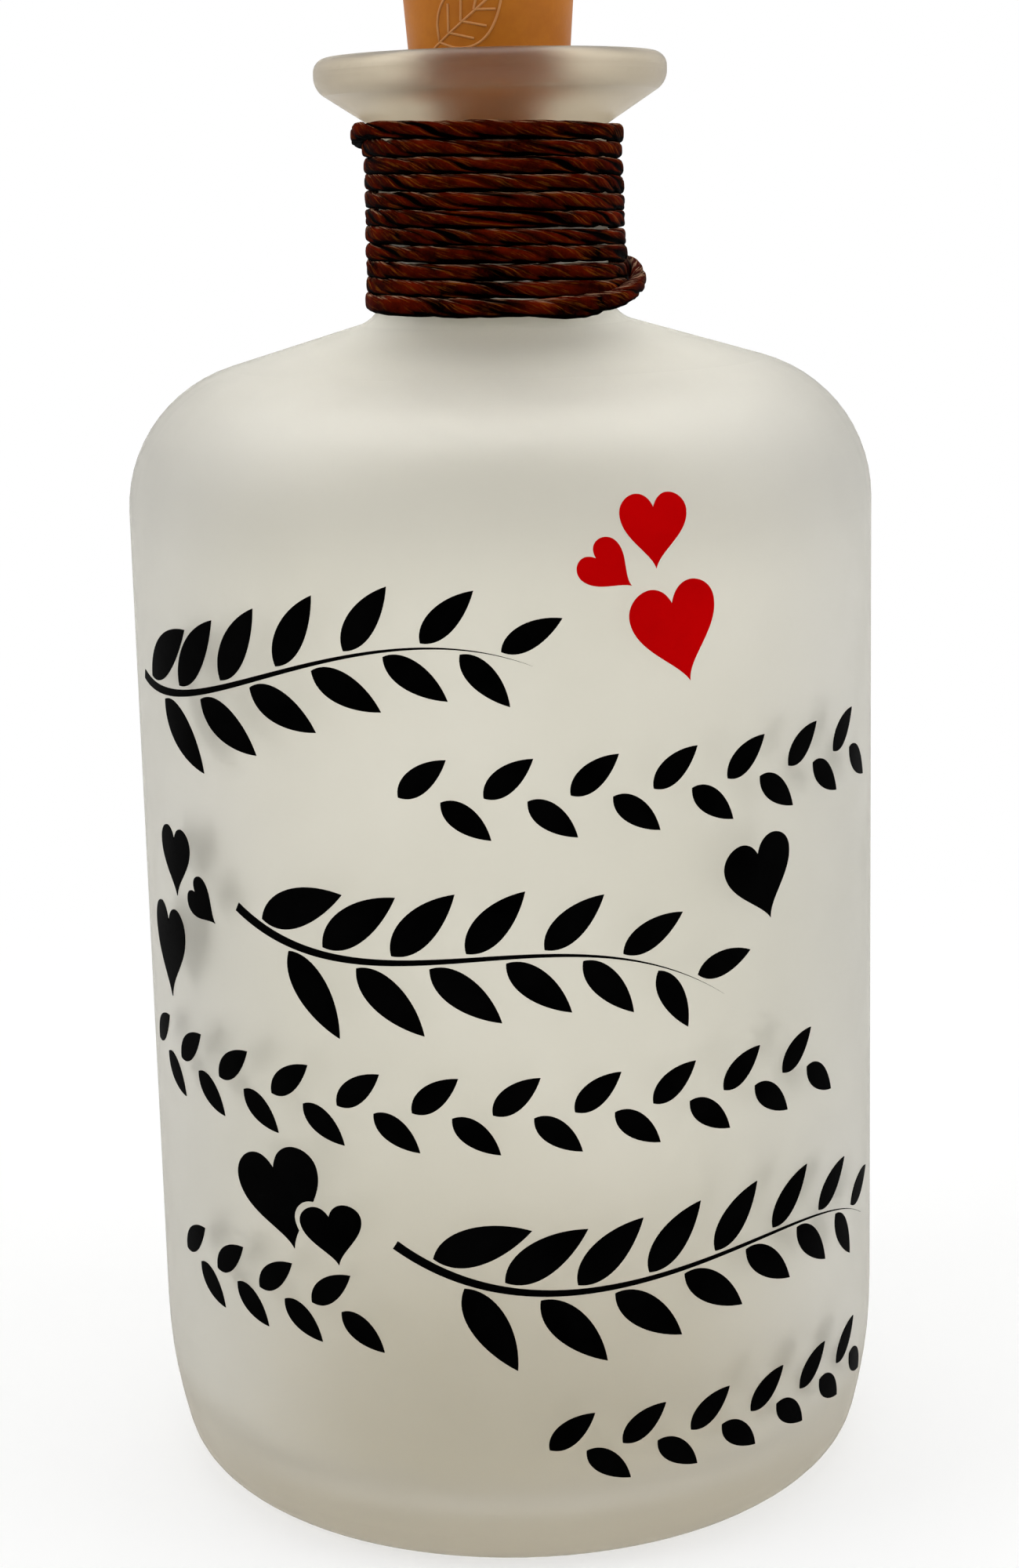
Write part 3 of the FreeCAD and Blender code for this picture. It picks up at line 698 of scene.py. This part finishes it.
# deck, button and plug under the cap
underCap = {
    "deck_plate": {"deep": rgb(22, 22, 23), "pale": rgb(36, 36, 38), "cloudSize": 160.0, "grainSize": 3600.0,
                   "smooth": 0.45, "rough": 0.62, "bump": 0.4},
    "push_button": {"deep": rgb(214, 212, 206), "pale": rgb(232, 230, 225), "cloudSize": 300.0,
                    "grainSize": 4200.0, "smooth": 0.32, "rough": 0.48},
    "plug_shell": {"deep": rgb(176, 177, 181), "pale": rgb(206, 207, 210), "cloudSize": 240.0,
                   "grainSize": 5200.0, "smooth": 0.2, "rough": 0.36, "bump": 0.15,
                   "sockets": {"Metallic": 1.0}},
    "plug_insulator": {"deep": rgb(216, 216, 212), "pale": rgb(232, 232, 229), "cloudSize": 260.0,
                       "grainSize": 4200.0, "smooth": 0.38, "rough": 0.55},
    "plug_contacts": {"deep": rgb(196, 146, 62), "pale": rgb(226, 182, 96), "cloudSize": 500.0,
                      "grainSize": 5200.0, "smooth": 0.18, "rough": 0.34, "bump": 0.1,
                      "sockets": {"Metallic": 1.0}},
}
for name, look in underCap.items():
    dress(grainedFinish(finishName(name), look), name)


# works sealed in the casing, and the lamp end
sealedWorks = {
    "switch_body": {"deep": rgb(20, 20, 22), "pale": rgb(34, 34, 36), "cloudSize": 300.0, "grainSize": 3600.0,
                    "smooth": 0.5, "rough": 0.66},
    "charge_chip": {"deep": rgb(14, 14, 15), "pale": rgb(26, 26, 28), "cloudSize": 400.0, "grainSize": 4800.0,
                    "smooth": 0.55, "rough": 0.7},
    "main_board": {"deep": rgb(18, 84, 46), "pale": rgb(30, 112, 62), "cloudSize": 420.0, "speckle": 0.6,
                   "grainSize": 1800.0, "smooth": 0.25, "rough": 0.42},
    "battery_cell": {"deep": rgb(28, 78, 132), "pale": rgb(42, 98, 156), "cloudSize": 140.0, "grainSize": 2600.0,
                     "smooth": 0.28, "rough": 0.44},
    "battery_pad": {"deep": rgb(28, 28, 28), "pale": rgb(52, 52, 51), "cloudSize": 900.0, "speckle": 0.8,
                    "grainSize": 2200.0, "smooth": 0.85, "rough": 0.98, "bump": 0.9, "bumpDepth": 0.12 * mm},
    "battery_tabs": {"deep": rgb(168, 167, 160), "pale": rgb(198, 197, 190), "cloudSize": 320.0,
                     "grainSize": 4600.0, "smooth": 0.26, "rough": 0.44, "sockets": {"Metallic": 1.0}},
    "lamp_chips": {"deep": rgb(232, 214, 120), "pale": rgb(244, 234, 168), "cloudSize": 900.0,
                   "grainSize": 5200.0, "smooth": 0.3, "rough": 0.5},
    "light_pipe": {"deep": rgb(226, 230, 231), "pale": rgb(240, 243, 243), "cloudSize": 200.0,
                   "grainSize": 5200.0, "smooth": 0.08, "rough": 0.2, "bump": 0.05,
                   "sockets": {"Transmission Weight": 0.95, "IOR": 1.49, "Metallic": 0.0}},
    "lens": {"deep": rgb(246, 243, 236), "pale": rgb(250, 248, 243), "cloudSize": 160.0, "grainSize": 4200.0,
             "smooth": 0.4, "rough": 0.52, "bump": 0.1,
             "sockets": {"Subsurface Weight": 0.9, "Subsurface Radius": (1.0, 1.0, 0.95),
                         "Subsurface Scale": 4 * mm, "IOR": 1.49}},
}
sharedFinish = {"lamp_board": "main_board", "lamp_leads": "battery_tabs", "charge_light": "lamp_chips"}
for name, look in sealedWorks.items():
    finish = grainedFinish(finishName(name), look)
    dress(finish, name, *[other for other, like in sharedFinish.items() if like == name])
print("works dressed,", len(underCap) + len(sealedWorks) + len(sharedFinish))


# studio: pale floor that keeps the shadow, white backdrop and soft lamps
studio = {
    "floorSize": 6.0,
    "floorPale": rgb(243, 243, 242),
    "floorGlow": 0.62,
    "glowRise": (0.07, 0.32),       # m from the bottle's axis, where the floor turns white
    "worldLight": 0.5,
    "insideLight": 1.0,             # for matt surfaces inside the glass, where lamps don't reach
    "roomGloss": 0.25,
    "roomFront": (-0.8, 0.3),
    # place, size in metres, watts
    "lamps": {
        "keyLamp": ((-0.98, -0.36, 0.85), 0.8, 4.8),
        "fillLamp": ((1.0, -0.34, 0.7), 0.9, 4.6),
        "topLamp": ((0.0, 0.2, 1.15), 1.3, 7.0),
    },
    "aim": (0.0, 0.0, 0.09),
}


def seenShare(tree):
    # 1 for rays that show the backdrop: straight, in gloss and through glass, until they meet a matt surface
    rays = addNode(tree, "ShaderNodeLightPath").outputs
    share = maths(tree, "ADD", rays["Is Camera Ray"], rays["Is Glossy Ray"], clamp=True)
    share = maths(tree, "ADD", share, rays["Is Transmission Ray"], clamp=True)
    return maths(tree, "MULTIPLY", share, maths(tree, "SUBTRACT", 1.0, rays["Diffuse Depth"], clamp=True))


def makeFloor():
    half = studio["floorSize"] / 2
    mesh = bpy.data.meshes.new("paleFloor")
    corners = [(-half, -half, 0), (half, -half, 0), (half, half, 0), (-half, half, 0)]
    mesh.from_pydata(corners, [], [(0, 1, 2, 3)])
    floor = bpy.data.objects.new("paleFloor", mesh)
    bpy.context.scene.collection.objects.link(floor)
    material, tree, shader = newFinish("paleFloorFinish")
    tree.nodes.remove(shader)
    diffuse = addNode(tree, "ShaderNodeBsdfDiffuse")
    diffuse.inputs["Color"].default_value = studio["floorPale"]
    glow = addNode(tree, "ShaderNodeEmission")
    where = addNode(tree, "ShaderNodeTexCoord").outputs["Object"]
    reach = addNode(tree, "ShaderNodeVectorMath", operation="LENGTH")
    feed(tree, reach.inputs[0], where)
    fade = remap(tree, reach.outputs["Value"], *studio["glowRise"], studio["floorGlow"], 1.0, True)
    mix = addNode(tree, "ShaderNodeMixShader")
    feed(tree, mix.inputs[0], maths(tree, "MULTIPLY", fade, seenShare(tree)))
    tree.links.new(diffuse.outputs[0], mix.inputs[1])
    tree.links.new(glow.outputs[0], mix.inputs[2])
    tree.links.new(mix.outputs[0], tree.nodes["Material Output"].inputs["Surface"])
    mesh.materials.append(material)


def makeWorld():
    world = bpy.data.worlds.new("whiteRoom")
    bpy.context.scene.world = world
    world.use_nodes = True
    tree = world.node_tree
    background = tree.nodes["Background"]
    background.inputs["Color"].default_value = (1, 1, 1, 1)
    # the room in front of the bottle is darker in gloss than the white backdrop behind it
    way = addNode(tree, "ShaderNodeSeparateXYZ")
    feed(tree, way.inputs[0], addNode(tree, "ShaderNodeTexCoord").outputs["Generated"])
    room = remap(tree, way.outputs["Y"], *studio["roomFront"], studio["roomGloss"], 1.0, True)
    rays = addNode(tree, "ShaderNodeLightPath").outputs
    seen = remap(tree, rays["Is Glossy Ray"], 0.0, 1.0, 1.0, room)
    lit = remap(tree, rays["Is Transmission Ray"], 0.0, 1.0, studio["worldLight"], studio["insideLight"])
    feed(tree, background.inputs["Strength"], remap(tree, seenShare(tree), 0.0, 1.0, lit, seen))


def makeLamps():
    for name, (place, size, watts) in studio["lamps"].items():
        data = bpy.data.lights.new(name, "AREA")
        data.shape = "DISK"
        data.size = size
        data.energy = watts
        lamp = bpy.data.objects.new(name, data)
        lamp.location = place
        lamp.rotation_euler = (Vector(studio["aim"]) - Vector(place)).to_track_quat("-Z", "Y").to_euler()
        bpy.context.scene.collection.objects.link(lamp)


makeFloor()
makeWorld()
makeLamps()
bpy.context.scene.view_settings.view_transform = "Standard"
print("studio lit")
